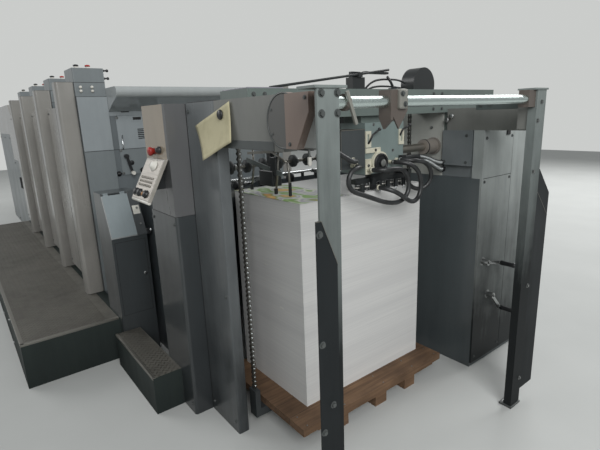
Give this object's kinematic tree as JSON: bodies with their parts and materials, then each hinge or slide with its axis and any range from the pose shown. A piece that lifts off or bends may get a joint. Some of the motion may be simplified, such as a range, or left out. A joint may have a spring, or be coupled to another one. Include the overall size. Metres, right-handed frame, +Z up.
{
  "type": "offset printing press",
  "caption": "Sheet-fed offset printing press with a pile feeder, a row of printing units, a delivery, an operator platform and a stack of paper under the suction head",
  "frame": {"origin": "on the floor under the middle of the first printing unit's base", "axes": "+X along the press to the feeder end, +Y to the drive side, +Z up; the operator side faces -Y"},
  "size_m": [8.656, 2.791, 2.004],
  "materials": {
    "press_base": "semi-gloss grey paint",
    "unit_towers": "semi-gloss grey paint",
    "unit_covers": "glossy light grey paint",
    "control_blocks": "semi-gloss grey paint",
    "control_buttons": "push buttons",
    "intake_panels": "semi-gloss grey paint",
    "infeed_guard": "semi-gloss grey paint",
    "throw_lever": "black paint",
    "throw_knob": "white knob",
    "delivery_base": "semi-gloss grey paint",
    "delivery_sides": "semi-gloss grey paint",
    "delivery_hood": "glossy light grey paint",
    "delivery_window": "tinted guard",
    "delivery_stack": "white sheets",
    "operator_platform": "worn checker plate",
    "step_box": "worn checker plate",
    "console": "dark grey paint",
    "console_lid": "blue grey paint",
    "feed_board": "dull",
    "feed_tapes": "dark tape",
    "feed_frame": "dark grey paint",
    "operator_column": "dark grey paint",
    "operator_side_box": "dark grey paint",
    "column_head": "dark grey paint",
    "column_light_panel": "glossy light grey paint",
    "control_panel": "light panel",
    "panel_arm": "black paint",
    "operator_top_beam": "grey paint",
    "beam_end_cover": "grey paint",
    "front_posts": "grey paint",
    "post_plates": "dark paint",
    "front_rail": "polished",
    "rail_bracket": "brown grey paint",
    "drive_top_beam": "grey paint",
    "drive_cabinet": "dark grey paint",
    "cabinet_end_cover": "light grey paint",
    "drive_upper_housing": "dark grey paint",
    "drive_inner_wall": "grey paint",
    "upper_crank": "worn",
    "lower_crank": "worn",
    "head_cross_beam": "teal grey paint",
    "beam_gear": "dark paint",
    "separator_frame": "dark paint",
    "suction_head": "teal grey paint",
    "suction_head_cover": "dark paint",
    "head_fittings": "cream paint",
    "head_wheel": "dark paint",
    "shaft_sleeve": "teal grey paint",
    "head_shaft": "polished",
    "sucker_bar": "black",
    "hose_1": "black hose",
    "hose_2": "black hose",
    "hose_3": "black hose",
    "hose_4": "black hose",
    "hoist_chains": "oiled",
    "board_carriers": "dark paint",
    "pile_board": "worn boards",
    "paper_stack": "white sheets"
  },
  "bodies": {
    "press": {"press_base": "press_base", "unit_towers": "unit_towers", "unit_covers": "unit_covers", "control_blocks": "control_blocks", "control_buttons": "control_buttons", "intake_panels": "intake_panels", "infeed_guard": "infeed_guard", "delivery_base": "delivery_base", "delivery_sides": "delivery_sides", "delivery_hood": "delivery_hood", "delivery_window": "delivery_window", "delivery_stack": "delivery_stack", "operator_platform": "operator_platform", "step_box": "step_box", "console": "console", "feed_board": "feed_board", "feed_tapes": "feed_tapes", "feed_frame": "feed_frame", "operator_column": "operator_column", "operator_side_box": "operator_side_box", "column_head": "column_head", "column_light_panel": "column_light_panel", "control_panel": "control_panel", "panel_arm": "panel_arm", "operator_top_beam": "operator_top_beam", "beam_end_cover": "beam_end_cover", "front_posts": "front_posts", "post_plates": "post_plates", "front_rail": "front_rail", "rail_bracket": "rail_bracket", "drive_top_beam": "drive_top_beam", "drive_cabinet": "drive_cabinet", "cabinet_end_cover": "cabinet_end_cover", "drive_upper_housing": "drive_upper_housing", "drive_inner_wall": "drive_inner_wall", "head_cross_beam": "head_cross_beam", "beam_gear": "beam_gear", "separator_frame": "separator_frame", "suction_head": "suction_head", "suction_head_cover": "suction_head_cover", "head_fittings": "head_fittings", "head_wheel": "head_wheel", "shaft_sleeve": "shaft_sleeve", "sucker_bar": "sucker_bar", "hose_1": "hose_1", "hose_2": "hose_2", "hose_3": "hose_3", "hose_4": "hose_4", "hoist_chains": "hoist_chains", "board_carriers": "board_carriers", "pile_board": "pile_board", "paper_stack": "paper_stack"},
    "upper_crank": {"upper_crank": "upper_crank"},
    "lower_crank": {"lower_crank": "lower_crank"},
    "lid": {"console_lid": "console_lid"},
    "head_shaft": {"head_shaft": "head_shaft"},
    "throw_lever": {"throw_lever": "throw_lever", "throw_knob": "throw_knob"}
  },
  "joints": [
    {"name": "upper_crank_turn", "type": "hinge", "parent": "press", "child": "upper_crank", "pos_m": [2.672, 0.765, 0.7], "axis": [1, 0, 0], "continuous": true},
    {"name": "lower_crank_turn", "type": "hinge", "parent": "press", "child": "lower_crank", "pos_m": [2.672, 0.845, 0.465], "axis": [1, 0, 0], "continuous": true},
    {"name": "lid_hinge", "type": "hinge", "parent": "press", "child": "lid", "pos_m": [0.98822, -0.8715, 1.14716], "axis": [0, -1, 0], "range_deg": [0, 75]},
    {"name": "shaft_spin", "type": "hinge", "parent": "press", "child": "head_shaft", "pos_m": [2.35, 0.45, 1.39], "axis": [0, 1, 0], "continuous": true},
    {"name": "throw_lever_swing", "type": "hinge", "parent": "press", "child": "throw_lever", "pos_m": [0.45, -0.6, 1.345], "axis": [1, 0, 0], "range_deg": [-35, 35]}
  ]
}
